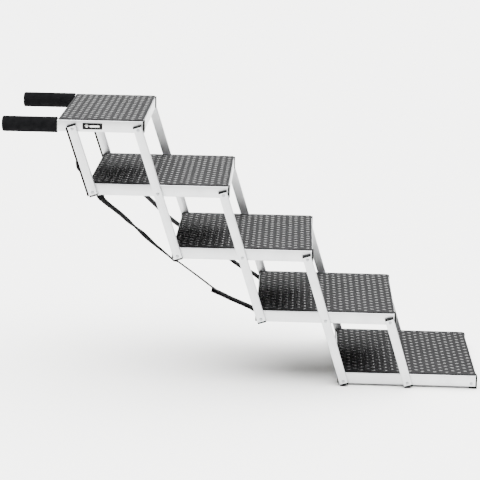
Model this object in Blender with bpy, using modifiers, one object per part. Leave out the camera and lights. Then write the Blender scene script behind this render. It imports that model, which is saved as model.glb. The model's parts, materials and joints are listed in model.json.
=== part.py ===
"""Folding pet stairs: five treads on parallel link bars, hinged at riveted pivots.

Metres, +Z up. +X runs from the top tread down to the bottom tread, and the "near" side is at -Y.
The origin is on the floor, under the centre of the whole object's box.
"""
import math

import bmesh
import bpy
from mathutils import Matrix, Vector

# ---- linkage: every tread hangs on the same parallelogram -------------------------------------------
PITCH = 0.172            # distance between neighbouring pivots along a rail
LINK = 0.1759            # distance between neighbouring pivots along a link bar
LEAN = math.radians(17.4)  # tops of the link bars lean back from upright by this angle
STOREYS = 4              # tread 1 is the top one, tread 5 the bottom one

# ---- link bars --------------------------------------------------------------------------------------
OUTER_WIDTH = 0.408      # over the outer faces of the link bars
BAR_WIDTH = 0.023
BAR_THICK = 0.010
BAR_WALL = 0.0015
BAR_RADIUS = 0.0016
BAR_END = 0.007          # bar metal past its last pivot
BAR_GAP = 0.0008         # washer gap between a bar and the rail beside it

# ---- side rails and crossbars -----------------------------------------------------------------------
RAIL_HEIGHT = 0.030
RAIL_WIDTH = 0.025
RAIL_WALL = 0.0016
RAIL_RADIUS = 0.0014
RAIL_BELOW = 0.0086      # rail metal below the pivot line
RAIL_END = 0.0112        # rail metal past its first and last pivot
TOP_RAIL_BACK = 0.0405   # the top tread's rails run this far behind their rear pivot
CROSS_DEPTH = 0.020
CROSS_WALL = 0.0016
CROSS_PROUD = 0.0024     # crossbar face past the rail's end
TOP_CROSS_SET = 0.0012   # the top tread's rear crossbar stays inside its rails' ends

# ---- deck panels and mats ---------------------------------------------------------------------------
DECK_THICK = 0.009
MAT_THICK = 0.0024
MAT_INSET = 0.0040       # mat edge in from the rails' outer faces
MAT_SET = 0.0020         # mat edge in from the crossbars' faces
MAT_RADIUS = 0.004

# ---- rivets -----------------------------------------------------------------------------------------
RIVET_R = 0.0024
RIVET_HEAD_R = 0.0047
RIVET_HEAD_T = 0.0016
RIVET_ROOT = 0.0012      # shank reaches this far into the rail wall
HOLE_R = 0.0030
ROUND_SIDES = 16

# ---- handles ----------------------------------------------------------------------------------------
GRIP_R = 0.0205
GRIP_LENGTH = 0.144
GRIP_END_WALL = 0.005
GRIP_ROUND = 0.005
CORE_FIT = 0.0003        # handle tube to the inside of the rail
CORE_WALL = 0.0018
CORE_IN_RAIL = 0.024     # handle tube length inside the rail
GRIP_SIDES = 28

# ---- small parts ------------------------------------------------------------------------------------
CLEAR = 0.0003           # gap between pieces that touch
PLUG_FLANGE = 0.004
PLUG_SPIGOT = 0.008
STRIP_THICK = 0.0034     # rubber strip on the rear edge of the top link bars
STRIP_WIDTH = 0.009
FOOT_LENGTH = 0.021      # sole of the front feet, along the rail
BADGE_SIZE = (0.052, 0.0006, 0.017)
BADGE_FROM_PIVOT = 0.0520
STRAP_WIDTH = 0.022
STRAP_THICK = 0.0012
STRAP_MARGIN = 0.0006    # between a strap's solid and the rails at its two ends
STRAP_TAIL = (0.036, 0.086)  # strap tail on the top link bar, measured up from its lower pivot

COLORS = {
    "aluminium": ((0.78, 0.78, 0.79, 1.0), 0.38, 1.0),
    "mat rubber": ((0.035, 0.035, 0.037, 1.0), 0.42, 0.0),
    "board": ((0.05, 0.05, 0.052, 1.0), 0.6, 0.0),
    "foam": ((0.022, 0.022, 0.023, 1.0), 0.7, 0.0),
    "black plastic": ((0.02, 0.02, 0.02, 1.0), 0.45, 0.0),
    "webbing": ((0.02, 0.02, 0.021, 1.0), 0.85, 0.0),
}

# ---- sizes that follow from the ones above ----------------------------------------------------------
STEP_DOWN = Vector((LINK * math.sin(LEAN), 0.0, -LINK * math.cos(LEAN)))
BAR_OUT = OUTER_WIDTH / 2
RAIL_OUT = BAR_OUT - BAR_THICK - BAR_GAP
RAIL_IN = RAIL_OUT - RAIL_WIDTH
RAIL_TOP = RAIL_HEIGHT - RAIL_BELOW
BAR_TIP = BAR_END + PLUG_FLANGE
CORE_R = RAIL_WIDTH / 2 - RAIL_WALL - CORE_FIT
FOOT_DROP = BAR_TIP * math.cos(LEAN) + BAR_WIDTH / 2 * math.sin(LEAN)
SIDES = (("near", -1), ("far", 1))


def rear_pivots():
    """Rear pivot of each tread, 1 to 5, with the first one at the origin."""
    spots = [Vector((0.0, 0.0, 0.0))]
    for storey in range(STOREYS):
        along = 0.0 if storey == 0 else PITCH
        spots.append(spots[-1] + Vector((along, 0.0, 0.0)) + STEP_DOWN)
    return spots


def tread_span(number):
    """Length of a tread from its rear pivot to its front pivot."""
    return PITCH if number == 1 else 2 * PITCH


def strap_ends(diagonal):
    """Ends of a strap's solid, from under one rail's rear end to just short of the next rail."""
    way = diagonal.normalized()
    under = (RAIL_BELOW + STRAP_MARGIN + STRAP_WIDTH / 2 * way.x) / -way.z
    short = diagonal.x - RAIL_END - PLUG_FLANGE - STRAP_MARGIN + STRAP_WIDTH / 2 * way.z
    return way * under, way * (short / way.x)


def whole_shift(pivots):
    """Moves the object so that the floor is at z = 0 and its box is centred on x = 0."""
    back = -TOP_RAIL_BACK - CLEAR - GRIP_LENGTH
    front = pivots[-1].x + tread_span(5) + RAIL_END + CLEAR + PLUG_FLANGE
    return Vector((-(back + front) / 2, 0.0, FOOT_DROP - pivots[-1].z))


def reset():
    """Clears the file and makes the two collections."""
    for old in list(bpy.data.objects):
        bpy.data.objects.remove(old, do_unlink=True)
    parts = bpy.data.collections.new("pet_stairs")
    tools = bpy.data.collections.new("cutters")
    for collection in (parts, tools):
        bpy.context.scene.collection.children.link(collection)
    return parts, tools


def material(name):
    """Principled material from the colour table."""
    made = bpy.data.materials.get(name)
    if made is None:
        made = bpy.data.materials.new(name)
        made.use_nodes = True
        shader = made.node_tree.nodes["Principled BSDF"]
        color, roughness, metallic = COLORS[name]
        shader.inputs["Base Color"].default_value = color
        shader.inputs["Roughness"].default_value = roughness
        shader.inputs["Metallic"].default_value = metallic
    return made


def add(name, mesh, collection, finish=None, parent=None, matrix=None):
    """Object for a mesh, in a collection, under a parent."""
    made = bpy.data.objects.new(name, mesh)
    collection.objects.link(made)
    if finish:
        mesh.materials.append(material(finish))
    if parent:
        made.parent = parent
    if matrix:
        made.matrix_basis = matrix
    return made


def tool(name, mesh, collection, parent, matrix):
    """Object that only cuts or joins."""
    made = add(name, mesh, collection, None, parent, matrix)
    made.display_type = "WIRE"
    made.hide_render = True
    return made


def boolean(target, other, operation):
    """Exact Boolean modifier."""
    step = target.modifiers.new(other.name, "BOOLEAN")
    step.object = other
    step.operation = operation
    step.solver = "EXACT"


def box_mesh(name, size, radius=0.0, along="", segments=2):
    """Box centred on the origin, with the edges that run along one axis rounded."""
    mesh = bpy.data.meshes.new(name)
    work = bmesh.new()
    bmesh.ops.create_cube(work, size=1.0, matrix=Matrix.Diagonal((*size, 1.0)))
    if radius:
        axis = "XYZ".index(along)
        long_edges = [e for e in work.edges
                      if abs(abs((e.verts[0].co - e.verts[1].co)[axis]) - size[axis]) < 1e-9]
        bmesh.ops.bevel(work, geom=long_edges, offset=radius, segments=segments, profile=0.5,
                        affect="EDGES")
    work.to_mesh(mesh)
    work.free()
    return mesh


def round_mesh(name, radius, depth, sides=ROUND_SIDES):
    """Cylinder centred on the origin, along Z."""
    mesh = bpy.data.meshes.new(name)
    work = bmesh.new()
    bmesh.ops.create_cone(work, cap_ends=True, segments=sides, radius1=radius, radius2=radius,
                          depth=depth)
    work.to_mesh(mesh)
    work.free()
    return mesh


def turned(name, outline, sides, collection, parent, matrix):
    """Turned solid: an (r, z) outline, run from top to bottom on its outer side, about Z."""
    mesh = bpy.data.meshes.new(name)
    mesh.from_pydata([(r, 0.0, z) for r, z in outline],
                     [(i, i + 1) for i in range(len(outline) - 1)], [])
    made = add(name, mesh, collection, None, parent, matrix)
    screw = made.modifiers.new("turn", "SCREW")
    screw.axis = "Z"
    screw.steps = screw.render_steps = sides
    screw.use_merge_vertices = True
    screw.merge_threshold = 0.00001
    return made


def arc(radius, start, end, count, centre):
    """Points on an arc in the (r, z) plane, with angles in degrees."""
    step = (end - start) / count
    return [(centre[0] + radius * math.cos(math.radians(start + step * i)),
             centre[1] + radius * math.sin(math.radians(start + step * i))) for i in range(count + 1)]


def place(x=0.0, y=0.0, z=0.0):
    """Translation."""
    return Matrix.Translation((x, y, z))


def out_along(side):
    """Turns local +Z to face outwards, away from the middle of the object."""
    return Matrix.Rotation(math.radians(90 if side < 0 else -90), 4, "X")


def frame_at(name, spot, collection, lean=0.0):
    """Empty that carries a tread or a pair of link bars."""
    made = bpy.data.objects.new(name, None)
    collection.objects.link(made)
    made.empty_display_size = 0.02
    made.location = spot
    made.rotation_euler = (0.0, lean, 0.0)
    return made


class Builder:
    """Holds the two collections and the shared meshes."""

    def __init__(self):
        self.parts, self.tools = reset()
        self.hole = round_mesh("pivot hole", HOLE_R, 3 * BAR_THICK)

    def rivet(self, name, parent, x, side, reach):
        """Rivet joined to a rail, with its head at this reach from the rail's face."""
        outline = [(0.0, reach + RIVET_HEAD_T), (RIVET_HEAD_R * 0.7, reach + RIVET_HEAD_T),
                   (RIVET_HEAD_R, reach + RIVET_HEAD_T * 0.4), (RIVET_HEAD_R, reach),
                   (RIVET_R, reach), (RIVET_R, -RIVET_ROOT), (0.0, -RIVET_ROOT)]
        made = turned(name, outline, ROUND_SIDES, self.tools, parent,
                      place(x, side * RAIL_OUT, 0.0) @ out_along(side))
        made.display_type = "WIRE"
        made.hide_render = True
        return made

    def tube(self, name, parent, size, wall, radius, along, centre):
        """Rectangular tube, open at both ends."""
        body = add(name, box_mesh(name, size, radius, along), self.parts, "aluminium", parent,
                   place(*centre))
        axis = "XYZ".index(along)
        inner = [s - 2 * wall for s in size]
        inner[axis] = size[axis] + 4 * wall
        hollow = tool(name + " hollow", box_mesh(name + " hollow", inner), self.tools, parent,
                      place(*centre))
        boolean(body, hollow, "DIFFERENCE")
        return body

    def rail(self, number, parent, label, side):
        """Side rail of a tread with its pivot rivets."""
        span = tread_span(number)
        back = TOP_RAIL_BACK if number == 1 else RAIL_END
        length = back + span + RAIL_END
        centre = (length / 2 - back, side * (RAIL_OUT - RAIL_WIDTH / 2), RAIL_TOP - RAIL_HEIGHT / 2)
        name = f"rail_{number}_{label}"
        body = self.tube(name, parent, (length, RAIL_WIDTH, RAIL_HEIGHT), RAIL_WALL, RAIL_RADIUS,
                         "X", centre)
        last = round(span / PITCH)
        for count in range(last + 1):
            # No bar hangs on the bottom tread's front rivet, so its head lies on the rail.
            bare = number == STOREYS + 1 and count == last
            reach = 0.0 if bare else BAR_GAP + BAR_THICK + CLEAR
            pin = self.rivet(f"{name} rivet {count}", parent, count * PITCH, side, reach)
            boolean(body, pin, "UNION")

    def crossbar(self, number, parent, label, face, inward):
        """Crossbar between the rails, with its outer face at x = face."""
        length = 2 * (RAIL_IN - CLEAR)
        centre = (face + inward * CROSS_DEPTH / 2, 0.0, RAIL_TOP - RAIL_HEIGHT / 2)
        self.tube(f"crossbar_{number}_{label}", parent, (CROSS_DEPTH, length, RAIL_HEIGHT), CROSS_WALL,
                  RAIL_RADIUS, "Y", centre)

    def tread(self, number, spot):
        """One tread: rails, crossbars, deck panel and mat."""
        parent = frame_at(f"tread_{number}", spot, self.parts)
        span = tread_span(number)
        for label, side in SIDES:
            self.rail(number, parent, label, side)
        rear = -TOP_RAIL_BACK + TOP_CROSS_SET if number == 1 else -RAIL_END - CROSS_PROUD
        front = span + RAIL_END + CROSS_PROUD
        self.crossbar(number, parent, "rear", rear, 1)
        self.crossbar(number, parent, "front", front, -1)
        deck_rear = rear + CROSS_DEPTH + CLEAR
        deck_front = front - CROSS_DEPTH - CLEAR
        deck = (deck_front - deck_rear, 2 * (RAIL_IN - CLEAR), DECK_THICK)
        add(f"deck_{number}", box_mesh("deck", deck), self.parts, "board", parent,
            place((deck_front + deck_rear) / 2, 0.0, RAIL_TOP - DECK_THICK / 2))
        mat = (front - rear - 2 * MAT_SET, 2 * (RAIL_OUT - MAT_INSET), MAT_THICK)
        add(f"mat_{number}", box_mesh("mat", mat, MAT_RADIUS, "Z", 3), self.parts, "mat rubber", parent,
            place((front + rear) / 2, 0.0, RAIL_TOP + CLEAR + MAT_THICK / 2))
        return parent

    def link(self, number, storeys, spot):
        """Pair of link bars whose lower pivot is at the spot."""
        parent = frame_at(f"link_{number}", spot, self.parts, -LEAN)
        length = storeys * LINK + 2 * BAR_END
        for label, side in SIDES:
            name = f"link_{number}_{label}"
            centre = (0.0, side * (BAR_OUT - BAR_THICK / 2), storeys * LINK / 2)
            bar = self.tube(name, parent, (BAR_WIDTH, BAR_THICK, length), BAR_WALL, BAR_RADIUS, "Z",
                            centre)
            for count in range(storeys + 1):
                hole = tool(f"{name} hole {count}", self.hole, self.tools, parent,
                            place(0.0, centre[1], count * LINK) @ out_along(side))
                boolean(bar, hole, "DIFFERENCE")
        return parent

    def foot_plug(self, number, parent, label, side):
        """Plug in the lower end of a link bar that stands on the floor."""
        centre_y = side * (BAR_OUT - BAR_THICK / 2)
        name = f"foot_plug_{number}_{label}"
        flange = (BAR_WIDTH, BAR_THICK, PLUG_FLANGE - CLEAR)
        body = add(name, box_mesh(name, flange, BAR_RADIUS, "Z"), self.parts, "black plastic", parent,
                   place(0.0, centre_y, -BAR_END - CLEAR - flange[2] / 2))
        inset = 2 * (BAR_WALL + CLEAR)
        reach = BAR_END - HOLE_R - CLEAR
        spigot = (BAR_WIDTH - inset, BAR_THICK - inset, reach + PLUG_FLANGE / 2)
        stem = tool(name + " stem", box_mesh(name + " stem", spigot), self.tools, parent,
                    place(0.0, centre_y, -BAR_END + reach - CLEAR - spigot[2] / 2))
        boolean(body, stem, "UNION")

    def bumper_strip(self, parent, label, side):
        """Rubber strip along the rear edge of a top link bar."""
        length = LINK + 2 * BAR_END
        size = (STRIP_THICK - CLEAR, STRIP_WIDTH, length)
        name = f"bumper_strip_{label}"
        add(name, box_mesh(name, size, STRIP_THICK / 4, "Z"), self.parts, "black plastic", parent,
            place(-BAR_WIDTH / 2 - CLEAR - size[0] / 2, side * (BAR_OUT - BAR_THICK / 2), LINK / 2))

    def handle(self, parent, label, side):
        """Handle tube that plugs into the top rail, with a foam grip over it."""
        centre_y = side * (RAIL_OUT - RAIL_WIDTH / 2)
        centre_z = RAIL_TOP - RAIL_HEIGHT / 2
        start = -TOP_RAIL_BACK - CLEAR
        turn = Matrix.Rotation(math.radians(-90), 4, "Y")
        bore = CORE_R + CLEAR
        inner = GRIP_LENGTH - GRIP_END_WALL
        outline = ([(0.0, GRIP_LENGTH)]
                   + arc(GRIP_ROUND, 90, 0, 3, (GRIP_R - GRIP_ROUND, GRIP_LENGTH - GRIP_ROUND))
                   + arc(GRIP_ROUND / 2, 0, -90, 2, (GRIP_R - GRIP_ROUND / 2, GRIP_ROUND / 2))
                   + [(bore, 0.0), (bore, inner), (0.0, inner)])
        grip = turned(f"grip_{label}", outline, GRIP_SIDES, self.parts, parent,
                      place(start, centre_y, centre_z) @ turn)
        grip.data.materials.append(material("foam"))
        core_length = CORE_IN_RAIL + inner - CLEAR
        top = inner - CLEAR
        wall_r = CORE_R - CORE_WALL
        pipe = [(wall_r, top), (CORE_R, top), (CORE_R, top - core_length), (wall_r, top - core_length),
                (wall_r, top)]
        core = turned(f"handle_tube_{label}", pipe, GRIP_SIDES, self.parts, parent,
                      place(start, centre_y, centre_z) @ turn)
        core.data.materials.append(material("aluminium"))

    def badge(self, parent):
        """Plain name plate on the near rail of the top tread."""
        spot = place(BADGE_FROM_PIVOT, -RAIL_OUT - CLEAR - BADGE_SIZE[1] / 2, RAIL_TOP - RAIL_HEIGHT / 2)
        add("badge_plate", box_mesh("badge_plate", BADGE_SIZE, 0.001, "Y"), self.parts, "black plastic",
            parent, spot)

    def front_foot(self, parent, label, side):
        """End cap of the bottom rail with a sole under it."""
        end = tread_span(5) + RAIL_END
        centre_y = side * (RAIL_OUT - RAIL_WIDTH / 2)
        name = f"front_foot_{label}"
        drop = FOOT_DROP - RAIL_BELOW
        cap = (PLUG_FLANGE, RAIL_WIDTH, RAIL_HEIGHT + drop)
        body = add(name, box_mesh(name, cap), self.parts, "black plastic", parent,
                   place(end + CLEAR + PLUG_FLANGE / 2, centre_y, RAIL_TOP - cap[2] / 2))
        sole = (FOOT_LENGTH, RAIL_WIDTH, drop - CLEAR)
        pad = tool(name + " sole", box_mesh(name + " sole", sole), self.tools, parent,
                   place(end + CLEAR + PLUG_FLANGE - FOOT_LENGTH / 2, centre_y,
                         -FOOT_DROP + sole[2] / 2))
        boolean(body, pad, "UNION")

    def strap(self, name, parent, start, end, side):
        """Webbing slab from one point of its parent's frame to another."""
        run = end - start
        tilt = math.atan2(run.x, run.z)
        middle = (start + end) / 2
        size = (STRAP_WIDTH, STRAP_THICK, run.length)
        out = BAR_OUT - BAR_THICK - CLEAR - STRAP_THICK / 2
        add(name, box_mesh(name, size), self.parts, "webbing", parent,
            place(middle.x, side * out, middle.z) @ Matrix.Rotation(tilt, 4, "Y"))


def main():
    """Builds the stairs."""
    build = Builder()
    pivots = rear_pivots()
    shift = whole_shift(pivots)
    spots = [p + shift for p in pivots]
    treads = [build.tread(n + 1, spot) for n, spot in enumerate(spots)]
    # Link 1 carries the top tread's rear pivots; each later link hangs one pivot further forward.
    links = [build.link(1, 1, spots[1])]
    for number in (2, 3, 4):
        links.append(build.link(number, 2, spots[number]))
    links.append(build.link(5, 1, spots[4] + Vector((PITCH, 0.0, 0.0))))
    diagonal = Vector((PITCH, 0.0, 0.0)) + STEP_DOWN
    start, end = strap_ends(diagonal)
    for label, side in SIDES:
        build.foot_plug(4, links[3], label, side)
        build.foot_plug(5, links[4], label, side)
        build.bumper_strip(links[0], label, side)
        build.handle(treads[0], label, side)
        build.front_foot(treads[4], label, side)
        build.strap(f"strap_upper_{label}", treads[1], start, end, side)
        build.strap(f"strap_lower_{label}", treads[2], start, end, side)
    build.strap("strap_tail_near", links[0], Vector((0.0, 0.0, STRAP_TAIL[0])),
                Vector((0.0, 0.0, STRAP_TAIL[1])), -1)
    build.badge(treads[0])


main()
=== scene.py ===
"""Looks of the folding pet stairs: treads, link bars, handles, straps, finishes, studio and camera."""
import json
import logging
import math
import random
from dataclasses import dataclass, field
from enum import Enum

import bmesh
import bpy
from mathutils import Matrix, Vector


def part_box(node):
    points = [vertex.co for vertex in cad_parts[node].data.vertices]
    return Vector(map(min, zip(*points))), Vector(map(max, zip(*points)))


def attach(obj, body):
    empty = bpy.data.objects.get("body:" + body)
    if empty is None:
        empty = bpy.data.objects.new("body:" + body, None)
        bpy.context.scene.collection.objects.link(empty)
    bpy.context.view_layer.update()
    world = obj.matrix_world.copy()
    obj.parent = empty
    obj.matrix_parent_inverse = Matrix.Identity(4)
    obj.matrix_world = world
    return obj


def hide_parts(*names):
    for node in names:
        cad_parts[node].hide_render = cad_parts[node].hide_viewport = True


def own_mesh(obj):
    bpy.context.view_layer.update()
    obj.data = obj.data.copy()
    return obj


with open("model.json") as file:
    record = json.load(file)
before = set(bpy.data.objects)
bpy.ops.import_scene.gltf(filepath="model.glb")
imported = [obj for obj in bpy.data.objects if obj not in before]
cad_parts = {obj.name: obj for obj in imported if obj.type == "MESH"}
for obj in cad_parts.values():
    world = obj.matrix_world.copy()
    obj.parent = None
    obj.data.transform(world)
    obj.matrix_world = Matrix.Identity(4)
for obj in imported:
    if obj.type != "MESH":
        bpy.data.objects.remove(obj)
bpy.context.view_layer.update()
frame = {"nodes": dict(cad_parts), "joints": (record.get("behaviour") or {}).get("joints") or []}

LOG = logging.getLogger("pet_stairs")

Material = bpy.types.Material
Socket = bpy.types.NodeSocket
Skin = tuple[list[Vector], list[list[int]]]    # vertices and faces
Pairs = list[tuple[float, float]]

MM = 0.001
RAIL_WIDTH = 25 * MM
WAVE_REPEATS = 3.2    # a wave texture of scale 1 repeats about this often in a metre


class Side(Enum):
    """Side of the stairs, with its sign along Y."""

    NEAR = -1
    FAR = 1

    @property
    def label(self) -> str:
        """Name of the side as the CAD nodes spell it."""
        return self.name.lower()


class Spot(Enum):
    """Pivot of a tread, counted from its rear end."""

    REAR = 0
    MIDDLE = 1
    FRONT = 2


# ---- small helpers ----


def linear(code: str) -> tuple[float, float, float, float]:
    """Turns an sRGB hex colour into linear RGBA.

    Args:
        code: Six hex digits.

    Returns:
        Linear red, green and blue, and an alpha of 1.
    """
    channels = [int(code[i:i + 2], 16) / 255 for i in (0, 2, 4)]
    made = [c / 12.92 if c <= 0.04045 else ((c + 0.055) / 1.055) ** 2.4 for c in channels]
    return (*made, 1.0)


def add_node(tree: bpy.types.NodeTree, kind: str, settings: dict | None = None,
             **inputs: object) -> bpy.types.Node:
    """Adds a shader node with its settings, values and links.

    Args:
        tree: Node tree that gets the node.
        kind: Type name of the node.
        settings: Attributes of the node.
        inputs: Value or output socket for each input, by its identifier or its name with _ for a space.

    Returns:
        The new node.
    """
    node = tree.nodes.new(kind)
    for key, value in (settings or {}).items():
        setattr(node, key, value)
    for key, value in inputs.items():
        socket = next(s for s in node.inputs
                      if s.enabled and (s.identifier == key or s.name == key.replace("_", " ")))
        if isinstance(value, Socket):
            tree.links.new(value, socket)
        else:
            socket.default_value = value
    return node


def rounded_rect(width: float, height: float, radius: float, steps: int = 4) -> Pairs:
    """Outline of a rectangle with round corners.

    Args:
        width: Size along the first axis.
        height: Size along the second axis.
        radius: Corner radius.
        steps: Segments of each corner.

    Returns:
        Points, counter-clockwise.
    """
    points = []
    for quarter, (sx, sy) in enumerate(((1, 1), (-1, 1), (-1, -1), (1, -1))):
        cx, cy = sx * (width / 2 - radius), sy * (height / 2 - radius)
        for step in range(steps + 1):
            angle = math.radians(90 * quarter + 90 * step / steps)
            points.append((cx + radius * math.cos(angle), cy + radius * math.sin(angle)))
    return points


def loft(rings: list[list[Vector]], joined: bool = False) -> Skin:
    """Skin through rings of points that all have the same count.

    Args:
        rings: Rings, in order.
        joined: Whether the last ring joins the first one, instead of both getting caps.

    Returns:
        Vertices and faces.
    """
    count = len(rings[0])
    verts = [p for ring in rings for p in ring]
    faces = []
    for level in range(len(rings) if joined else len(rings) - 1):
        low, high = level * count, (level + 1) % len(rings) * count
        faces += [[low + i, low + (i + 1) % count, high + (i + 1) % count, high + i] for i in range(count)]
    if not joined:
        faces.append(list(range(count))[::-1])
        faces.append([(len(rings) - 1) * count + i for i in range(count)])
    return verts, faces


def inset_rings(width: float, height: float, spots: list[tuple[float, float, float]]) -> list[list[Vector]]:
    """Rounded rectangles across X, each set in from the full size.

    Args:
        width: Full size along Y.
        height: Full size along Z.
        spots: Place along X, inset and corner radius of each ring.

    Returns:
        Rings for loft.
    """
    return [[Vector((x, a, b)) for a, b in rounded_rect(width - 2 * inset, height - 2 * inset, radius)]
            for x, inset, radius in spots]


def turned_rings(profile: Pairs, sides: int) -> list[list[Vector]]:
    """Rings of a turned shape about X.

    Args:
        profile: Pairs of place along X and radius.
        sides: Segments round the axis.

    Returns:
        Rings for loft.
    """
    angles = [2 * math.pi * i / sides for i in range(sides)]
    return [[Vector((x, r * math.cos(a), r * math.sin(a))) for a in angles] for x, r in profile]


def oval(long: float, short: float, turn: float, count: int, pointed: float = 1.0) -> Pairs:
    """Outline of a turned oval.

    Args:
        long: Radius along the first axis before the turn.
        short: Radius along the second axis before the turn.
        turn: Turn in radians.
        count: Number of points.
        pointed: Above 1, the oval gets the points of a lozenge.

    Returns:
        Points, counter-clockwise.
    """
    points = []
    for step in range(count):
        c, s = math.cos(2 * math.pi * step / count), math.sin(2 * math.pi * step / count)
        u = long * math.copysign(abs(c) ** pointed, c)
        v = short * math.copysign(abs(s) ** pointed, s)
        points.append((u * math.cos(turn) - v * math.sin(turn), u * math.sin(turn) + v * math.cos(turn)))
    return points


@dataclass
class Shape:
    """Mesh in the making: several skins that go into one object."""

    verts: list[Vector] = field(default_factory=list)
    faces: list[list[int]] = field(default_factory=list)

    def take(self, skin: Skin, place: Matrix | None = None) -> "Shape":
        """Adds a skin.

        Args:
            skin: Vertices and faces.
            place: Where the skin goes.

        Returns:
            This shape.
        """
        start = len(self.verts)
        self.verts += [place @ v for v in skin[0]] if place else list(skin[0])
        self.faces += [[i + start for i in face] for face in skin[1]]
        return self

    def piece(self, name: str, body: str, finish: Material, slot: str,
              place: Matrix | None = None, nodes: tuple[str, ...] = (),
              sharp_deg: float = 40.0) -> bpy.types.Object:
        """Makes the object, dresses it and lets it ride.

        Args:
            name: Object name.
            body: CAD body that it rides on.
            finish: Material.
            slot: Material slot of the record; not used.
            place: Where the object's own axes go.
            nodes: CAD nodes that it stands for.
            sharp_deg: Edges sharper than this stay crisp.

        Returns:
            The object.
        """
        mesh = bpy.data.meshes.new(name)
        mesh.from_pydata([tuple(v) for v in self.verts], [], self.faces)
        work = bmesh.new()
        work.from_mesh(mesh)
        bmesh.ops.recalc_face_normals(work, faces=work.faces)
        work.to_mesh(mesh)
        work.free()
        mesh.shade_smooth()
        mesh.set_sharp_from_angle(angle=math.radians(sharp_deg))
        mesh.materials.append(finish)
        made = bpy.data.objects.new(name, mesh)
        bpy.context.scene.collection.objects.link(made)
        if place:
            made.matrix_world = place
        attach(made, body)
        if nodes:
            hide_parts(*nodes)
        return made


# ---- finishes ----


class Surface:
    """Node tree of one material, with what every finish does to it."""

    def __init__(self, name: str, roughness: float, metallic: float = 0.0, ior: float | None = None,
                 specular: float | None = None) -> None:
        """Starts a Principled material.

        Args:
            name: Material name.
            roughness: Roughness at the middle of its range.
            metallic: Metallic value.
            ior: Index of refraction, or None to keep the default of a metal.
            specular: Specular level, or None to keep the default.
        """
        self.material = bpy.data.materials.new(name)
        self.material.use_nodes = True
        self.tree = self.material.node_tree
        self.shader = self.tree.nodes["Principled BSDF"]
        for socket, level in (("Roughness", roughness), ("Metallic", metallic), ("IOR", ior),
                              ("Specular IOR Level", specular)):
            if level is not None:
                self.shader.inputs[socket].default_value = level
        self.coords = add_node(self.tree, "ShaderNodeTexCoord").outputs["Object"]

    def grain(self, size: tuple[float, float, float] | float, detail: float = 3.0, rough: float = 0.5
              ) -> Socket:
        """Irregular grain of a real size.

        Args:
            size: Grain size in metres, for all axes or along each one.
            detail: Octaves.
            rough: Share that each finer octave keeps.

        Returns:
            Value of the grain, 0 to 1.
        """
        sizes = (size,) * 3 if isinstance(size, float) else size
        spread = add_node(self.tree, "ShaderNodeMapping", Vector=self.coords,
                          Scale=tuple(1 / s for s in sizes))
        return add_node(self.tree, "ShaderNodeTexNoise", Vector=spread.outputs["Vector"], Scale=1.0,
                        Detail=detail, Roughness=rough).outputs["Fac"]

    def crossed_ribs(self, flat: Socket, sizes: tuple[float, float],
                     wobble: tuple[float, float] = (0.0, 0.0)) -> tuple[Socket, Socket]:
        """Two sets of ribs at right angles, as in a weave or a wire print.

        Args:
            flat: Coordinates in metres.
            sizes: Spacing along X and along Y.
            wobble: How far each set strays from straight.

        Returns:
            The first set alone, and both sets together.
        """
        ribs = [add_node(self.tree, "ShaderNodeTexWave", {"bands_direction": axis}, Vector=flat, Detail=1.0,
                         Scale=1 / size / WAVE_REPEATS, Distortion=stray).outputs["Fac"]
                for axis, size, stray in zip("XY", sizes, wobble)]
        both = add_node(self.tree, "ShaderNodeMath", {"operation": "MULTIPLY"}, Value=ribs[0],
                        Value_001=ribs[1])
        return ribs[0], both.outputs["Value"]

    def vary_color(self, value: Socket, dark: str, light: str) -> None:
        """Runs the base colour with a value.

        Args:
            value: Socket that drives it.
            dark: Colour at the low end, sRGB hex.
            light: Colour at the high end.
        """
        ramp = add_node(self.tree, "ShaderNodeValToRGB", Fac=value)
        for stop, place, code in zip(ramp.color_ramp.elements, (0.3, 0.7), (dark, light)):
            stop.position, stop.color = place, linear(code)
        self.tree.links.new(ramp.outputs["Color"], self.shader.inputs["Base Color"])

    def vary_roughness(self, value: Socket, low: float, high: float) -> None:
        """Runs the roughness with a value.

        Args:
            value: Socket that drives it.
            low: Roughness at the low end.
            high: Roughness at the high end.
        """
        span = add_node(self.tree, "ShaderNodeMapRange", Value=value, From_Min=0.3, From_Max=0.7,
                        To_Min=low, To_Max=high)
        self.tree.links.new(span.outputs["Result"], self.shader.inputs["Roughness"])

    def relief(self, value: Socket, height: float, strength: float = 1.0) -> None:
        """Bump of a real height, on top of any that is there.

        Args:
            value: Height map, 0 to 1.
            height: Height in metres.
            strength: Share of the bump that shows.
        """
        under = self.shader.inputs["Normal"]
        links = {"Normal": under.links[0].from_socket} if under.is_linked else {}
        bump = add_node(self.tree, "ShaderNodeBump", Height=value, Distance=height, Strength=strength,
                        **links)
        self.tree.links.new(bump.outputs["Normal"], under)


@dataclass(frozen=True)
class SatinAnodisedAluminium:
    """Extruded 6063 tube, etched and clear anodised: pale satin metal with faint draw lines along it."""

    dark: str = "C6C7C9"
    light: str = "D2D3D4"
    roughness: float = 0.39
    cloud: float = 46 * MM
    line_width: float = 0.9 * MM   # real die lines are near 0.1 mm; drawn coarser so that they show
    line_length: float = 260 * MM
    etch: float = 0.6 * MM

    def material(self) -> Material:
        """Draws the lines along the piece's own X axis.

        Returns:
            The material of the tubes.
        """
        made = Surface("satin_anodised_aluminium", self.roughness, metallic=1.0)
        lines = made.grain((self.line_length, self.line_width, self.line_width), detail=2.0)
        made.vary_color(made.grain(self.cloud, detail=4.0, rough=0.6), self.dark, self.light)
        made.vary_roughness(lines, self.roughness - 0.06, self.roughness + 0.08)
        made.relief(lines, 0.03 * MM, 0.5)
        made.relief(made.grain(self.etch, detail=2.0), 0.012 * MM, 0.5)
        return made.material


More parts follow.
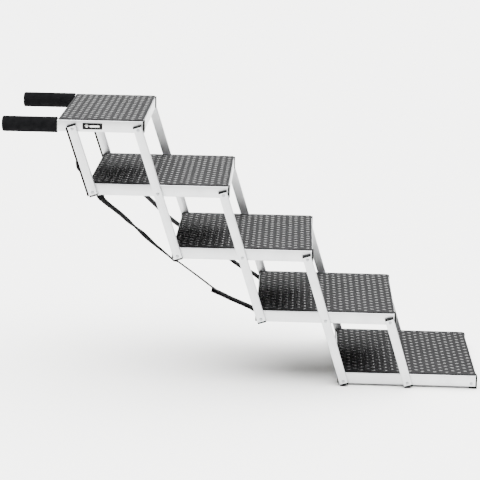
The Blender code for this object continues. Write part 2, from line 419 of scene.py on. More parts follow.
@dataclass(frozen=True)
class TumbledAluminium:
    """Cold-headed aluminium rivet: greyer than the tube, with a duller, tumbled skin."""

    dark: str = "97999C"
    light: str = "B7B9BB"
    smooth: float = 0.30
    rough: float = 0.48
    dent: float = 0.8 * MM

    def material(self) -> Material:
        """Dents the skin evenly.

        Returns:
            The material of the rivets.
        """
        made = Surface("tumbled_aluminium_rivet", self.smooth, metallic=1.0)
        dents = made.grain(self.dent)
        made.vary_color(dents, self.dark, self.light)
        made.vary_roughness(dents, self.smooth, self.rough)
        made.relief(dents, 0.02 * MM)
        return made.material


@dataclass(frozen=True)
class MouldedRubber:
    """Compression-moulded EPDM tread rubber: charcoal and dry, with a fine pebbled skin."""

    name: str = "moulded_epdm_mat"
    dark: str = "0A0A0B"
    light: str = "121213"
    smooth: float = 0.56
    rough: float = 0.70
    specular: float = 0.08
    pebble: float = 0.05 * MM

    def material(self) -> Material:
        """Lets tone and gloss wear unevenly over a pebbled skin.

        Returns:
            The material.
        """
        made = Surface(self.name, self.rough, ior=1.52, specular=self.specular)
        made.vary_color(made.grain(38 * MM, detail=5.0, rough=0.62), self.dark, self.light)
        made.vary_roughness(made.grain(7 * MM, detail=4.0), self.smooth, self.rough)
        made.relief(made.grain(1.1 * MM, detail=2.0), self.pebble, 0.7)
        return made.material


@dataclass(frozen=True)
class ClosedCellFoam:
    """Closed-cell nitrile foam sleeve, skived: deep charcoal, dry and finely pored."""

    dark: str = "0D0D0E"
    light: str = "141415"
    pore: float = 1.3 * MM   # real pores are near 0.3 mm; drawn coarser so that they show

    def material(self) -> Material:
        """Pits the skin with pores.

        Returns:
            The material of the grips.
        """
        made = Surface("nitrile_foam_grip", 0.78, ior=1.5, specular=0.0)
        pores = add_node(made.tree, "ShaderNodeTexVoronoi", Vector=made.coords, Scale=1 / self.pore)
        made.vary_color(made.grain(14 * MM, detail=4.0), self.dark, self.light)
        made.vary_roughness(made.grain(5 * MM), 0.72, 0.86)
        made.relief(pores.outputs["Distance"], 0.10 * MM, 0.55)
        return made.material


@dataclass(frozen=True)
class MouldedPlastic:
    """Injection-moulded plastic with a fine spark-eroded texture, so its highlights are broad and grey."""

    name: str
    dark: str
    light: str
    roughness: float = 0.46
    specular: float = 0.5
    spark: float = 0.7 * MM

    def material(self) -> Material:
        """Gives the skin its eroded texture.

        Returns:
            The material.
        """
        made = Surface(self.name, self.roughness, ior=1.49, specular=self.specular)
        sparks = made.grain(self.spark, detail=2.0)
        made.vary_color(made.grain(12 * MM), self.dark, self.light)
        made.vary_roughness(sparks, self.roughness - 0.07, self.roughness + 0.09)
        made.relief(sparks, 0.03 * MM, 0.6)
        return made.material


@dataclass(frozen=True)
class WovenPolyester:
    """Polyester webbing, ribbed across and woven along: matt black with a dry sheen."""

    dark: str = "09090A"
    light: str = "141416"
    rib: float = 1.6 * MM
    thread: float = 0.9 * MM

    def material(self) -> Material:
        """Weaves it along and across the ribbon's own UV, which is in metres.

        Returns:
            The material of the straps.
        """
        made = Surface("woven_polyester_webbing", 0.82, ior=1.5, specular=0.05)
        flat = add_node(made.tree, "ShaderNodeUVMap", {"uv_map": "strap"}).outputs["UV"]
        ribs, weave = made.crossed_ribs(flat, (self.rib, self.thread), (0.6, 0.8))
        made.vary_color(ribs, self.dark, self.light)
        made.relief(weave, 0.25 * MM, 0.8)
        made.shader.inputs["Sheen Weight"].default_value = 0.05
        made.shader.inputs["Sheen Roughness"].default_value = 0.35
        return made.material


@dataclass(frozen=True)
class FilmFacedPlywood:
    """Birch plywood under a pressed phenolic film: brown-black, with the film's faint wire-mesh print."""

    dark: str = "231F1D"
    light: str = "322C29"
    mesh: float = 5 * MM
    streak: tuple[float, float, float] = (120 * MM, 9 * MM, 9 * MM)

    def material(self) -> Material:
        """Prints the mesh over the wood's streaks.

        Returns:
            The material of the deck panels.
        """
        made = Surface("film_faced_plywood", 0.42, ior=1.6)
        _, mesh = made.crossed_ribs(made.coords, (self.mesh, self.mesh))
        made.vary_color(made.grain(self.streak, detail=4.0), self.dark, self.light)
        made.vary_roughness(mesh, 0.36, 0.52)
        made.relief(mesh, 0.12 * MM)
        return made.material


@dataclass(frozen=True)
class SprayedFloor:
    """Matt sprayed studio floor: nearly white, with no pattern that could compete with the stairs."""

    color: str = "F8F8F6"

    def material(self) -> Material:
        """Keeps it plain.

        Returns:
            The material of the floor.
        """
        made = Surface("matt_studio_floor", 0.9, ior=1.45, specular=0.1)
        made.shader.inputs["Base Color"].default_value = linear(self.color)
        return made.material


class Finishes:
    """All materials, made once."""

    def __init__(self) -> None:
        """Makes each material."""
        self.aluminium = SatinAnodisedAluminium().material()
        self.rivet = TumbledAluminium().material()
        self.mat = MouldedRubber().material()
        # Stud material: a copy of the mat rubber whose lighter base colour is a painted highlight; its low
        # roughness and high specular are the studs' glossier finish.
        self.studs = MouldedRubber("polished_epdm_studs", "0F0F10", "19191A", 0.20, 0.32, 0.52,
                                   0.02 * MM).material()
        self.foam = ClosedCellFoam().material()
        self.plug = MouldedPlastic("moulded_polypropylene_plug", "0A0A0B", "121213", specular=0.06).material()
        self.strip = MouldedPlastic("extruded_epdm_strip", "080809", "0E0E0F", 0.6, 0.02).material()
        self.washer = MouldedPlastic("moulded_nylon_washer", "C2C1BB", "D2D1CB", 0.4).material()
        self.plate = MouldedPlastic("moulded_abs_plate", "0A0A0B", "111112", 0.3, 0.08).material()
        self.mark = MouldedPlastic("moulded_abs_mark", "E0E0DE", "ECECEA", 0.4).material()
        self.webbing = WovenPolyester().material()
        self.deck = FilmFacedPlywood().material()
        self.floor = SprayedFloor().material()


# ---- linkage ----


class Linkage:
    """Pivot places, read from the frame's joints."""

    def __init__(self) -> None:
        """Reads the joints."""
        where = {j["name"]: Vector(j["pos_m"]) for j in frame["joints"]}
        self.pitch = where["fold_tread_2"].x - where["fold_link_1"].x
        self.rear = {
            1: where["fold_tread_1"] - Vector((self.pitch, 0, 0)),
            2: where["fold_link_1"],
            3: where["fold_link_2"],
            4: where["fold_link_3"],
            5: where["fold"],
        }
        self.down = self.rear[2] - self.rear[1]

    def pivot(self, tread: int, spot: Spot) -> Vector:
        """Place of a pivot in the middle plane."""
        return self.rear[tread] + Vector((self.pitch * spot.value, 0, 0))

    def spots(self, tread: int) -> list[Spot]:
        """Pivots that a tread has: the top tread is half as long, so it has two."""
        return [Spot.REAR, Spot.MIDDLE] if tread == 1 else list(Spot)

    def storeys(self, link: int) -> int:
        """Number of storeys that a pair of link bars spans."""
        return 1 if link in (1, 5) else 2

    def foot_of(self, link: int) -> Vector:
        """Lowest pivot of a pair of link bars."""
        return self.pivot(5, Spot.MIDDLE) if link == 5 else self.rear[max(link + 1, 2)]


# ---- shared pieces ----


@dataclass
class Extrusion:
    """Rectangular aluminium tube, built along its own X axis and open at both ends."""

    length: float
    width: float
    height: float
    wall: float
    radius: float
    deburr: float = 0.35 * MM

    def skin(self) -> Skin:
        """Skin of the tube.

        Returns:
            Vertices and faces, centred on its own origin.
        """
        half, edge = self.length / 2, self.deburr
        inner = max(self.radius - self.wall, 0.4 * MM)
        return loft(inset_rings(self.width, self.height, [
            (-half, edge, self.radius - edge), (-half + edge, 0, self.radius), (half - edge, 0, self.radius),
            (half, edge, self.radius - edge), (half, self.wall, inner), (-half, self.wall, inner),
        ]), joined=True)


@dataclass
class EndPlug:
    """Push-in plastic plug: a flange with softened edges and a stem inside the tube. Its +X faces out."""

    width: float
    height: float
    flange: float = 4.0 * MM
    gap: float = 0.3 * MM
    stem: float = 3.0 * MM
    wall: float = 2.0 * MM
    soft: float = 0.7 * MM

    def skin(self) -> Skin:
        """Skin of the plug.

        Returns:
            Vertices and faces, with x = 0 at the tube's end.
        """
        top, soft, stem_r = self.gap + self.flange, self.soft, 0.8 * MM
        return loft(inset_rings(self.width, self.height, [
            (-self.stem, self.wall + 0.4 * MM, stem_r), (-self.stem + 0.5 * MM, self.wall, stem_r),
            (self.gap, self.wall, stem_r), (self.gap, 0.0, 1.5 * MM), (top - soft, 0.0, 1.5 * MM),
            (top - 0.3 * soft, 0.3 * soft, 1.4 * MM), (top, soft, 1.0 * MM),
        ]))


@dataclass
class BlindRivet:
    """Blind rivet with a domed head and the broken mandrel sunk in its middle. Its +X faces out."""

    head_radius: float = 4.3 * MM
    head_height: float = 1.6 * MM
    shank_radius: float = 2.4 * MM
    bore_radius: float = 1.5 * MM
    bore_depth: float = 0.9 * MM
    sides: int = 28

    def skin(self, reach: float) -> Skin:
        """Skin of the rivet.

        Args:
            reach: Distance from the rail's face to the underside of the head.

        Returns:
            Vertices and faces, with x = 0 at the rail's face.
        """
        dome = [(reach + self.head_height * math.cos(t) ** 0.8, self.head_radius * math.sin(t))
                for t in (math.radians(a) for a in (24, 40, 56, 72, 84))]
        bore = [(reach + self.head_height - self.bore_depth, 0.3 * MM),
                (reach + self.head_height - self.bore_depth, self.bore_radius * 0.8),
                (reach + self.head_height - 0.2 * MM, self.bore_radius)]
        shank = [(reach + 0.1 * MM, self.head_radius), (reach, self.head_radius - 0.2 * MM),
                 (reach, self.shank_radius), (-1.0 * MM, self.shank_radius)]
        return loft(turned_rings(bore + dome + shank, self.sides))


@dataclass
class Washer:
    """Nylon washer between a rail and a link bar. Its +X faces out."""

    outer: float = 8.5 * MM
    inner: float = 2.5 * MM
    thick: float = 0.76 * MM

    def skin(self) -> Skin:
        """Skin of the washer.

        Returns:
            Vertices and faces, with x = 0 at the rail's face.
        """
        low, high = 0.02 * MM, self.thick
        return loft(turned_rings([(low, self.inner), (low, self.outer), (high, self.outer),
                                  (high, self.inner)], 32), joined=True)


def refinish(node: str, finish: Material) -> None:
    """Gives a CAD solid that stays visible its own finish.

    Args:
        node: Name of the CAD node.
        finish: Its material.
    """
    slots = frame["nodes"][node].data.materials
    slots.clear()
    slots.append(finish)


def turned(degrees: float) -> Matrix:
    """Turn about Z."""
    return Matrix.Rotation(math.radians(degrees), 4, "Z")


def facing_out(spot: Vector, side: Side) -> Matrix:
    """Turns +X to face out of a side of the stairs, at a place."""
    return Matrix.Translation(spot) @ turned(90 * side.value)


# ---- treads ----


@dataclass
class Studs:
    """Raised lozenge studs of a tread mat, in staggered columns whose lozenges lean by turns."""

    pitch_x: float = 16.5 * MM
    pitch_y: float = 25.0 * MM
    long: float = 6.5 * MM
    short: float = 4.6 * MM
    height: float = 1.7 * MM
    lean_deg: float = 26.0
    margin: float = 7.0 * MM
    points: int = 12
    pointed: float = 1.25

    def lozenge(self, x: float, y: float, z: float, lean: float, size: float) -> Skin:
        """One stud.

        Args:
            x: Place along the mat's length.
            y: Place along the mat's depth.
            z: Height of the mat's face.
            lean: Turn of the long axis, in radians.
            size: Share of the full size.

        Returns:
            Vertices and faces.
        """
        return loft([[Vector((x + u, y + v, z + rise)) for u, v in oval(
            self.long * share * size, self.short * share * size, lean, self.points, self.pointed)]
            for share, rise in ((1.0, -0.1 * MM), (0.95, 0.28 * self.height), (0.80, 0.62 * self.height),
                                (0.56, 0.86 * self.height), (0.26, self.height))])

    def fill(self, shape: Shape, length: float, depth: float, top: float, seed: int) -> None:
        """Covers a mat with studs.

        Args:
            shape: Shape that gets the studs.
            length: Mat size along X.
            depth: Mat size along Y.
            top: Height of the mat's face.
            seed: Seed for the small size differences.
        """
        chance = random.Random(seed)
        columns = int((length - 2 * self.margin) / self.pitch_x)
        rows = int((depth - 2 * self.margin) / self.pitch_y)
        for column in range(columns + 1):
            x = (column - columns / 2) * self.pitch_x
            lean = math.radians(self.lean_deg if column % 2 else -self.lean_deg)
            for row in range(rows + (1 if column % 2 else 2)):
                y = (row - rows / 2 - (0 if column % 2 else 0.5)) * self.pitch_y
                if abs(y) < depth / 2 - self.margin:
                    shape.take(self.lozenge(x, y, top, lean, chance.uniform(0.93, 1.05)))


@dataclass
class Tread:
    """One tread: two rails, two crossbars, a deck panel, a studded mat, rivets, washers and plugs."""

    number: int
    linkage: Linkage
    finishes: Finishes
    rail_wall: float = 1.6 * MM
    rail_radius: float = 1.6 * MM
    bar_reach: float = 11.1 * MM
    mat_corner: float = 5.0 * MM
    clear: float = 0.3 * MM

    @property
    def body(self) -> str:
        """CAD body of the tread."""
        return f"tread_{self.number}"

    def rail_face(self, side: Side) -> float:
        """Y of the outer face of a rail, beside the crossbars' ends."""
        return side.value * (abs(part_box(f"crossbar_{self.number}_rear")[0].y) + self.clear + RAIL_WIDTH)

    def rails(self) -> None:
        """Side rails, with a plug in each open end."""
        for side in Side:
            name = f"rail_{self.number}_{side.label}"
            low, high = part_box(name)
            centre = Vector(((low.x + high.x) / 2, self.rail_face(side) - side.value * RAIL_WIDTH / 2,
                             (low.z + high.z) / 2))
            tube = Extrusion(high.x - low.x, RAIL_WIDTH, high.z - low.z, self.rail_wall, self.rail_radius)
            Shape().take(tube.skin()).piece(f"{name}_tube", self.body, self.finishes.aluminium,
                                            "aluminium", Matrix.Translation(centre), (name,))
            plug = EndPlug(RAIL_WIDTH, high.z - low.z)
            ends = [] if self.number == 5 else [("front", high.x, 0)]
            ends += [] if self.number == 1 else [("rear", low.x, 180)]
            for end, x, turn in ends:
                place = Matrix.Translation((x, centre.y, centre.z)) @ turned(turn)
                Shape().take(plug.skin()).piece(f"plug_{self.number}_{end}_{side.label}", self.body,
                                                self.finishes.plug, "foot_plastic", place)

    def crossbars(self) -> None:
        """Front and rear crossbars, drawn along their own length."""
        for end in ("rear", "front"):
            name = f"crossbar_{self.number}_{end}"
            low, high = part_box(name)
            tube = Extrusion(high.y - low.y, high.x - low.x, high.z - low.z, self.rail_wall,
                             self.rail_radius)
            Shape().take(tube.skin()).piece(f"{name}_tube", self.body, self.finishes.aluminium, "aluminium",
                                            Matrix.Translation((low + high) / 2) @ turned(90), (name,))

    def deck(self) -> None:
        """Deck panel under the mat: the CAD solid with its own finish."""
        refinish(f"deck_{self.number}", self.finishes.deck)

    def mat(self) -> None:
        """Rubber mat with round corners, a softened top edge and raised studs."""
        low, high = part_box(f"mat_{self.number}")
        size = high - low
        rings = []
        for inset, z in ((0.4 * MM, 0.0), (0.0, 0.4 * MM), (0.0, size.z - 0.8 * MM),
                         (0.25 * MM, size.z - 0.25 * MM), (0.9 * MM, size.z)):
            outline = rounded_rect(size.x - 2 * inset, size.y - 2 * inset, self.mat_corner - inset, 6)
            rings.append([Vector((a, b, z - size.z / 2)) for a, b in outline])
        place = Matrix.Translation((low + high) / 2)
        Shape().take(loft(rings)).piece(f"mat_slab_{self.number}", self.body, self.finishes.mat,
                                        "mat_rubber", place, (f"mat_{self.number}",))
        studs = Shape()
        Studs().fill(studs, size.x, size.y, size.z / 2, self.number)
        studs.piece(f"mat_studs_{self.number}", self.body, self.finishes.studs, "mat_rubber", place)

    def pivots(self) -> None:
        """Rivets and washers of both rails."""
        for side in Side:
            rivets, washers = Shape(), Shape()
            for spot in self.linkage.spots(self.number):
                at = self.linkage.pivot(self.number, spot)
                at.y = self.rail_face(side)
                bare = self.number == 5 and spot is Spot.FRONT
                rivets.take(BlindRivet().skin(0.0 if bare else self.bar_reach), facing_out(at, side))
                if not bare:
                    washers.take(Washer().skin(), facing_out(at, side))
            rivets.piece(f"rivets_{self.number}_{side.label}", self.body, self.finishes.rivet, "aluminium")
            washers.piece(f"washers_{self.number}_{side.label}", self.body, self.finishes.washer,
                          "foot_plastic")

    def build(self) -> None:
        """Builds and dresses the tread."""
        self.rails()
        self.crossbars()
        self.deck()
        self.mat()
        self.pivots()
        LOG.info("tread %d built", self.number)


# ---- link bars ----


@dataclass
class LinkPair:
    """Two link bars, one on each side, with their end plugs and, on the top pair, rubber strips."""

    number: int
    linkage: Linkage
    finishes: Finishes
    width: float = 23 * MM
    thick: float = 10 * MM
    wall: float = 1.5 * MM
    radius: float = 1.7 * MM
    past_pivot: float = 7 * MM
    strip_width: float = 9 * MM
    strip_thick: float = 4.6 * MM
    strip_clear: float = 0.3 * MM

    @property
    def body(self) -> str:
        """CAD body of the pair."""
        return f"link_{self.number}"

    def axes(self, side: Side) -> Matrix:
        """Frame of a bar at its lowest pivot, with +X up along it and +Z across its width.

        Args:
            side: Side of the bar.

        Returns:
            The frame.
        """
        low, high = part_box(f"link_{self.number}_{side.label}")
        at = self.linkage.foot_of(self.number)
        up, across = -self.linkage.down.normalized(), Vector((0, 1, 0))
        made = Matrix((up, across, up.cross(across))).transposed().to_4x4()
        return Matrix.Translation((at.x, (low.y + high.y) / 2, at.z)) @ made

    def bars(self) -> None:
        """Bars with a plug in each end."""
        length = self.linkage.storeys(self.number) * self.linkage.down.length + 2 * self.past_pivot
        tube = Extrusion(length, self.thick, self.width, self.wall, self.radius)
        plug = EndPlug(self.thick, self.width)
        for side in Side:
            name, axes = f"link_{self.number}_{side.label}", self.axes(side)
            middle = axes @ Matrix.Translation((length / 2 - self.past_pivot, 0, 0))
            Shape().take(tube.skin()).piece(f"{name}_tube", self.body, self.finishes.aluminium,
                                            "aluminium", middle, (name,))
            for end, x, turn in (("top", length - self.past_pivot, 0), ("foot", -self.past_pivot, 180)):
                stands = end == "foot" and self.number in (4, 5)
                Shape().take(plug.skin()).piece(
                    f"plug_link_{self.number}_{end}_{side.label}", self.body, self.finishes.plug,
                    "foot_plastic", axes @ Matrix.Translation((x, 0, 0)) @ turned(turn),
                    (f"foot_plug_{self.number}_{side.label}",) if stands else ())

    def strips(self) -> None:
        """Rubber strips on the rear edges of the top pair, from end plug to end plug."""
        section = rounded_rect(self.strip_width, self.strip_thick, 1.0 * MM)
        length = self.linkage.down.length + 2 * self.past_pivot
        middle = self.width / 2 + self.strip_clear + self.strip_thick / 2
        rings = [[Vector((x - self.past_pivot, y * share, middle + z * share)) for y, z in section]
                 for x, share in ((0.0, 0.7), (0.6 * MM, 1.0), (length - 0.6 * MM, 1.0), (length, 0.7))]
        for side in Side:
            name = f"bumper_strip_{side.label}"
            Shape().take(loft(rings)).piece(f"{name}_profile", self.body, self.finishes.strip,
                                            "strip_rubber", self.axes(side), (name,))

    def build(self) -> None:
        """Builds and dresses the pair."""
        self.bars()
        if self.number == 1:
            self.strips()
        LOG.info("link pair %d built", self.number)


# ---- handles, feet and plate ----


@dataclass
class Handle:
    """Foam grip over a handle tube, on one side of the top tread."""

    side: Side
    finishes: Finishes
    sides: int = 64
    steps: int = 26
    round_in: float = 3.4 * MM
    round_out: float = 2.0 * MM
    wobble: float = 0.22 * MM
    bore: float = 11.2 * MM
    squeeze: float = 0.82

    def build(self) -> None:
        """Builds the grip and dresses the tube."""
        name = f"grip_{self.side.label}"
        low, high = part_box(name)
        centre, radius, length = (low + high) / 2, (high.z - low.z) / 2, high.x - low.x
        chance = random.Random(11 if self.side is Side.NEAR else 12)
        profile = [(0.0, 0.5 * MM), (0.0, radius - 3.4 * MM), (0.5 * MM, radius - 1.9 * MM),
                   (1.7 * MM, radius - 0.7 * MM), (self.round_in, radius - 0.15 * MM)]
        run = length - self.round_in - self.round_out
        profile += [(self.round_in + run * step / self.steps, radius - chance.uniform(0.0, self.wobble))
                    for step in range(1, self.steps)]
        profile += [(length - 1.4 * MM, radius - 0.1 * MM), (length - 0.4 * MM, radius - 0.5 * MM),
                    (length, radius - 1.4 * MM), (length, self.bore)]
        shape = Shape().take(loft(turned_rings(profile, self.sides)))
        grip = shape.piece(f"foam_grip_{self.side.label}", "tread_1", self.finishes.foam, "foam",
                           Matrix.Translation((low.x, centre.y, centre.z)), (name,), 50.0)
        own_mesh(grip)
        refinish(f"handle_tube_{self.side.label}", self.finishes.aluminium)
        LOG.info("handle %s built", self.side.label)


@dataclass
class FrontFoot:
    """End cap with a sole under a front corner of the bottom tread."""

    side: Side
    finishes: Finishes
    flange: float = 4 * MM
    sole: float = 5.0 * MM
    soft: float = 0.8 * MM

    def build(self) -> None:
        """Builds the cap."""
        name = f"front_foot_{self.side.label}"
        low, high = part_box(name)
        width = high.y - low.y
        corner = [(high.x - self.soft, high.z), (high.x, high.z - self.soft), (high.x, low.z + self.soft),
                  (high.x - self.soft, low.z), (low.x + self.soft, low.z), (low.x, low.z + self.soft),
                  (low.x, low.z + self.sole), (high.x - self.flange, low.z + self.sole),
                  (high.x - self.flange, high.z)]
        middle = Vector((sum(x for x, _ in corner), 0, sum(z for _, z in corner))) / len(corner)
        rings = []
        for y, inset in ((low.y, self.soft), (low.y + self.soft, 0), (high.y - self.soft, 0),
                         (high.y, self.soft)):
            share = 1 - inset / width
            rings.append([Vector((middle.x + (x - middle.x) * share, y, middle.z + (z - middle.z) * share))
                          for x, z in corner])
        Shape().take(loft(rings)).piece(f"{name}_cap", "tread_5", self.finishes.plug, "foot_plastic",
                                        None, (name,), 35.0)
        LOG.info("front foot %s built", self.side.label)


@dataclass
class NamePlate:
    """Plain plate with a paw mark and a blank bar, in place of any name."""

    finishes: Finishes
    relief: float = 0.15 * MM

    def disc(self, x: float, z: float, rx: float, rz: float, turn: float = 0.0) -> Skin:
        """Oval raised on the plate's face.

        Args:
            x: Place along the plate.
            z: Place up the plate.
            rx: Radius along the plate.
            rz: Radius up the plate.
            turn: Turn in radians.

        Returns:
            Vertices and faces.
        """
        return loft([[Vector((x + u, -out, z + v)) for u, v in oval(rx * share, rz * share, turn, 16)]
                     for share, out in ((1.0, 0.0), (1.0, self.relief * 0.7), (0.8, self.relief))])

    def build(self) -> None:
        """Builds the plate and its mark."""
        low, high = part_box("badge_plate")
        centre, size = (low + high) / 2, high - low
        rings = []
        for inset, y in ((0.0, size.y / 2), (0.0, -size.y * 0.2), (0.35 * MM, -size.y / 2)):
            outline = rounded_rect(size.x - 2 * inset, size.z - 2 * inset, 1.6 * MM - inset, 6)
            rings.append([Vector((a, y, b)) for a, b in outline])
        Shape().take(loft(rings)).piece("plain_plate", "tread_1", self.finishes.plate, "black_plastic",
                                        Matrix.Translation(centre), ("badge_plate",))
        mark = Shape()
        mark.take(self.disc(-15 * MM, -1.6 * MM, 2.6 * MM, 2.1 * MM))
        for x, z, turn in ((-18.6, 0.9, 0.5), (-16.4, 2.8, 0.15), (-13.6, 2.8, -0.15), (-11.4, 0.9, -0.5)):
            mark.take(self.disc(x * MM, z * MM, 0.95 * MM, 1.4 * MM, turn))
        bar = [[Vector((a + 5.5 * MM, y, b)) for a, b in rounded_rect(26 * MM, 5.2 * MM, 2.5 * MM, 6)]
               for y in (0.0, -self.relief)]
        mark.take(loft(bar))
        face = Vector((centre.x, low.y - 0.01 * MM, centre.z))
        mark.piece("plain_plate_mark", "tread_1", self.finishes.mark, "black_plastic",
                   Matrix.Translation(face))
        LOG.info("plate built")


# ---- straps ----


@dataclass
class Ribbon:
    """Webbing ribbon along a route, turned about it, with UVs in metres named strap."""

    thick: float = 1.1 * MM
    across: int = 6

    def skin(self, route: list[Vector], turns: list[float], widths: list[float]) -> tuple[Shape, Pairs]:
        """Sweeps the ribbon.

        Args:
            route: Points of its middle line.
            turns: Turn about the route at each point, in radians; 0 faces the side of the stairs.
            widths: Width at each point.

        Returns:
            The shape, and a UV for each vertex.
        """
        rings, uvs, run, out = [], [], 0.0, Vector((0, 1, 0))
        shares = [step / self.across * 2 - 1 for step in range(self.across + 1)]
        for i, at in enumerate(route):
            along = (route[min(i + 1, len(route) - 1)] - route[max(i - 1, 0)]).normalized()
            run += (at - route[i - 1]).length if i else 0.0
            flat = along.cross(out).normalized()
            wide = flat * math.cos(turns[i]) + out * math.sin(turns[i])
            deep = along.cross(wide).normalized() * self.thick / 2
            edge = widths[i] / 2
            rings.append([at + wide * edge * t + deep for t in shares]
                         + [at + wide * edge * t - deep for t in reversed(shares)])
            uvs += [(run, edge * t) for t in (*shares, *reversed(shares))]
        return Shape().take(loft(rings)), uvs


def smooth_route(points: list[Vector], count: int) -> list[Vector]:
    """Catmull-Rom curve through points.

    Args:
        points: Points that the curve passes through.
        count: Number of points wanted.

    Returns:
        Points on the curve.
    """
    ends = [points[0] * 2 - points[1], *points, points[-1] * 2 - points[-2]]
    made = []
    for step in range(count):
        u = step / (count - 1) * (len(points) - 1)
        i = min(int(u), len(points) - 2)
        t = u - i
        a, b, c, d = ends[i:i + 4]
        made.append(0.5 * ((2 * b) + (c - a) * t + (2 * a - 5 * b + 4 * c - d) * t ** 2
                           + (3 * b - a - 3 * c + d) * t ** 3))
    return made


def eased(keys: Pairs, count: int) -> list[float]:
    """Smooth run of values through keys.

    Args:
        keys: Pairs of share of the way and value.
        count: Number of values wanted.

    Returns:
        The values.
    """
    made = []
    for step in range(count):
        u = step / (count - 1)
        for (u0, v0), (u1, v1) in zip(keys, keys[1:]):
            if u <= u1:
                t = (u - u0) / (u1 - u0)
                made.append(v0 + (v1 - v0) * t * t * (3 - 2 * t))
                break
    return made


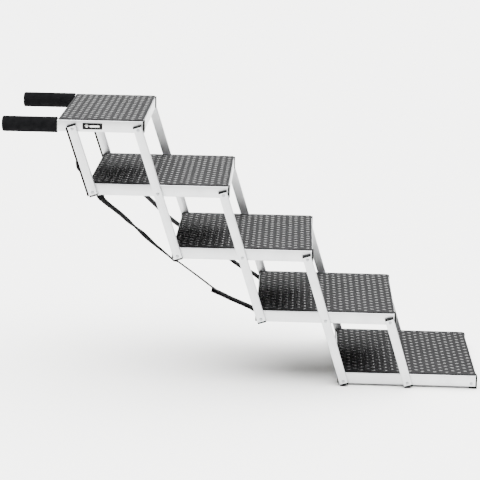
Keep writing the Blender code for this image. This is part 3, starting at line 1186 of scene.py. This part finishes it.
@dataclass
class Strap:
    """Webbing strap of one side: slack stretches between rails, twisted so that it shows a narrow face."""

    side: Side
    linkage: Linkage
    finishes: Finishes
    plane: float = 193.4 * MM
    steps: int = 56
    folded: float = 0.14

    @property
    def sag(self) -> float:
        """How much of each listed drop is used, since the far strap hangs slacker than the near one."""
        return 1.0 if self.side is Side.FAR else 0.0

    def at(self, pivot: Vector, x_mm: float, z_mm: float, inward: float = 0.0) -> Vector:
        """Point near a pivot, in the strap's plane or inward of it."""
        return Vector((pivot.x + x_mm * MM, self.side.value * (self.plane - inward),
                       pivot.z + z_mm * MM))

    def skin(self, points: list[Vector], turns: Pairs, widths: Pairs) -> tuple[Shape, Pairs]:
        """Sweeps a ribbon through points.

        Args:
            points: Points of its middle line.
            turns: Keys of its turn, in degrees.
            widths: Keys of its width.

        Returns:
            The shape, and a UV for each vertex.
        """
        return Ribbon().skin(smooth_route(points, self.steps),
                             [math.radians(v) for v in eased(turns, self.steps)],
                             eased(widths, self.steps))

    def dress(self, skins: list[tuple[Shape, Pairs]], name: str, body: str, node: str) -> bpy.types.Object:
        """Makes one object from swept ribbons.

        Args:
            skins: Shapes and their UVs.
            name: Object name.
            body: Body that it rides on.
            node: CAD node that it stands for.

        Returns:
            The object.
        """
        whole, uvs = Shape(), []
        for shape, flat in skins:
            whole.take((shape.verts, shape.faces))
            uvs += flat
        made = whole.piece(name, body, self.finishes.webbing, "webbing", None, (node,), 50.0)
        layer = made.data.uv_layers.new(name="strap")
        for loop in made.data.loops:
            layer.data[loop.index].uv = uvs[loop.vertex_index]
        return made

    def shorten(self, made: bpy.types.Object) -> None:
        """Gives a stretch its own copy of its mesh."""
        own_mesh(made)

    def upper(self) -> None:
        """Stretch from under the second rail's rear end to the foot of the next link bar."""
        start, end = self.linkage.pivot(2, Spot.REAR), self.linkage.pivot(3, Spot.REAR)
        points = [self.at(start, 20, -9.2, 3 * MM)]
        points += [self.at(start, x, z - self.sag * drop, 2.2 * MM) for x, z, drop in (
            (21, -14, 0), (27, -22, 1), (38, -32, 3), (55, -45, 5), (74, -60, 7), (92, -76, 9),
            (110, -92, 10), (126, -106, 11), (146, -124, 12), (165, -141, 13), (186, -158, 13),
            (205, -174, 10))]
        points.append(self.at(start, 216, -184, 1.0 * MM))
        turns = {Side.NEAR: [(0, 0), (0.09, 52), (0.16, 72), (0.3, 78), (0.46, 79), (0.54, 92),
                             (0.66, 77), (0.78, 88), (0.9, 94), (1.0, 96)],
                 Side.FAR: [(0, 0), (0.09, 52), (0.16, 70), (0.3, 75), (1.0, 76)]}
        skin = self.skin(points, turns[self.side], [(0, 22 * MM), (0.2, 24 * MM), (1.0, 24 * MM)])
        self.shorten(self.dress([skin], f"webbing_upper_{self.side.label}", "tread_2",
                                f"strap_upper_{self.side.label}"))

    def lower(self) -> None:
        """Stretch below it: edge-on, then a doubled length that starts with a square end."""
        start, end = self.linkage.pivot(3, Spot.REAR), self.linkage.pivot(4, Spot.REAR)
        route = [self.at(start, x, z - self.sag * drop, inward * MM) for x, z, inward, drop in (
            (-6, -16.5, 1.5, 0), (1.3, -17.5, 1.5, 0), (24, -34, 2, 0), (46, -50, 2.2, 0),
            (70, -68, 2.2, 0), (95, -87, 2.2, 0), (118, -102, 2.2, 2), (140, -112.5, 2.2, 8),
            (167, -124, 2.2, 14), (193, -135, 1.6, 17))]
        route.append(self.at(start, 206 + 10 * self.sag, -142 - 27 * self.sag, 1.0 * MM))
        thin = self.skin(route, [(0, 95), (0.5, 94), (1.0, 94)], [(0, 20 * MM), (1.0, 22 * MM)])
        square_end = self.at(start, 91, -92, 2.2 * MM)
        doubled = self.skin([square_end] + [p + Vector((0, 0, -1.6 * MM)) for p in route[6:]],
                            [(0, 77), (0.5, 79), (1.0, 77)], [(0, 24 * MM), (1.0, 24 * MM)])
        self.shorten(self.dress([thin, doubled], f"webbing_lower_{self.side.label}", "tread_3",
                                f"strap_lower_{self.side.label}"))

    def tail(self) -> None:
        """Tail behind the near top link bar: a loose loop past its rear edge, with a frayed end."""
        foot = self.linkage.pivot(2, Spot.REAR)
        up = -self.linkage.down.normalized()
        back = up.cross(Vector((0, 1, 0)))

        def spot(along: float, behind: float, depth: float = 1.0) -> Vector:
            """Point beside the bar, in mm: up along it, behind its middle line and inward of it."""
            at = foot + (up * along + back * behind) * MM
            return Vector((at.x, self.side.value * (self.plane - depth * MM), at.z))

        loop = self.skin([spot(26, 0), spot(44, 2), spot(58, 7), spot(69, 14), spot(79, 18),
                          spot(87, 16.5), spot(92, 10), spot(93, 3)],
                         [(0, 5), (0.4, 15), (0.62, 62), (0.8, 66), (1.0, 40)],
                         [(0, 18 * MM), (0.5, 17 * MM), (1.0, 14 * MM)])
        frayed = self.skin([spot(84, 16, 3), spot(72, 17.6, 3.4), spot(60, 16.6, 3), spot(49, 17.4, 2)],
                           [(0, 40), (1.0, 70)], [(0, 6 * MM), (0.6, 3.6 * MM), (1.0, 1.0 * MM)])
        self.dress([loop, frayed], f"webbing_tail_{self.side.label}", "link_1",
                   f"strap_tail_{self.side.label}")

    def build(self) -> None:
        """Builds the strap."""
        self.upper()
        self.lower()
        if self.side is Side.NEAR:
            self.tail()
        LOG.info("strap %s built", self.side.label)


# ---- studio ----


@dataclass
class Studio:
    """Pale floor, soft light from all round and the camera."""

    finishes: Finishes
    from_top_pivot: tuple[float, float, float] = (0.5757, -4.3532, 0.8618)
    yaw_deg: float = 1.758
    pitch_deg: float = -14.767
    roll_deg: float = 1.059
    lens: float = 128.26
    sensor: float = 36.0
    silk_power: float = 18.5
    silk_spread_deg: float = 96.0
    silk_tilt_deg: float = -12.0
    world_strength: float = 0.2
    floor_radius: float = 30.0

    def floor(self) -> None:
        """Wide pale floor."""
        mesh = bpy.data.meshes.new("studio_floor")
        work = bmesh.new()
        bmesh.ops.create_circle(work, cap_ends=True, segments=64, radius=self.floor_radius)
        work.to_mesh(mesh)
        work.free()
        mesh.materials.append(self.finishes.floor)
        made = bpy.data.objects.new("studio_floor", mesh)
        bpy.context.scene.collection.objects.link(made)
        made.location.z = -0.4 * MM

    def overhead(self) -> None:
        """Very large silk overhead, so wide that it lights the floor evenly."""
        light = bpy.data.lights.new("overhead_silk", "SUN")
        light.energy = self.silk_power
        light.angle = math.radians(self.silk_spread_deg)
        made = bpy.data.objects.new("overhead_silk", light)
        bpy.context.scene.collection.objects.link(made)
        made.rotation_euler = (math.radians(self.silk_tilt_deg), 0, 0)

    def world(self) -> None:
        """Even white surroundings."""
        made = bpy.data.worlds.new("studio_white")
        made.use_nodes = True
        shader = made.node_tree.nodes["Background"]
        shader.inputs["Color"].default_value = linear("FFFFFF")
        shader.inputs["Strength"].default_value = self.world_strength
        bpy.context.scene.world = made

    def camera(self, linkage: Linkage, face: float) -> None:
        """Camera, placed from the top tread's rear pivot on the near side.

        Args:
            linkage: Where the pivots are.
            face: Y of the near link bars' outer faces.
        """
        yaw, pitch, roll = (math.radians(v) for v in (self.yaw_deg, self.pitch_deg, self.roll_deg))
        level = math.cos(pitch)
        ahead = Vector((-math.sin(yaw) * level, math.cos(yaw) * level, math.sin(pitch)))
        right = ahead.cross(Vector((0, 0, 1))).normalized()
        up = right.cross(ahead)
        turned_right = right * math.cos(roll) + up * math.sin(roll)
        turned_up = up * math.cos(roll) - right * math.sin(roll)
        data = bpy.data.cameras.new("camera")
        data.sensor_width = self.sensor
        data.lens = self.lens
        data.clip_end = 100.0
        made = bpy.data.objects.new("camera", data)
        bpy.context.scene.collection.objects.link(made)
        origin = linkage.pivot(1, Spot.REAR)
        at = Vector((origin.x, face, origin.z)) + Vector(self.from_top_pivot)
        axes = Matrix((turned_right, turned_up, -ahead)).transposed().to_4x4()
        made.matrix_world = Matrix.Translation(at) @ axes
        bpy.context.scene.camera = made

    def build(self, linkage: Linkage) -> None:
        """Sets the studio up.

        Args:
            linkage: Where the pivots are.
        """
        self.camera(linkage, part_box("link_1_near")[0].y)
        self.floor()
        self.world()
        self.overhead()
        LOG.info("studio built")


def main() -> None:
    """Builds the stairs' looks, sub-assembly by sub-assembly."""
    logging.basicConfig(level=logging.INFO, format="%(message)s")
    finishes = Finishes()
    linkage = Linkage()
    Studio(finishes).build(linkage)
    for number in range(1, 6):
        Tread(number, linkage, finishes).build()
        LinkPair(number, linkage, finishes).build()
    for side in Side:
        Handle(side, finishes).build()
        FrontFoot(side, finishes).build()
        Strap(side, linkage, finishes).build()
    NamePlate(finishes).build()


if __name__ == "__main__":
    main()
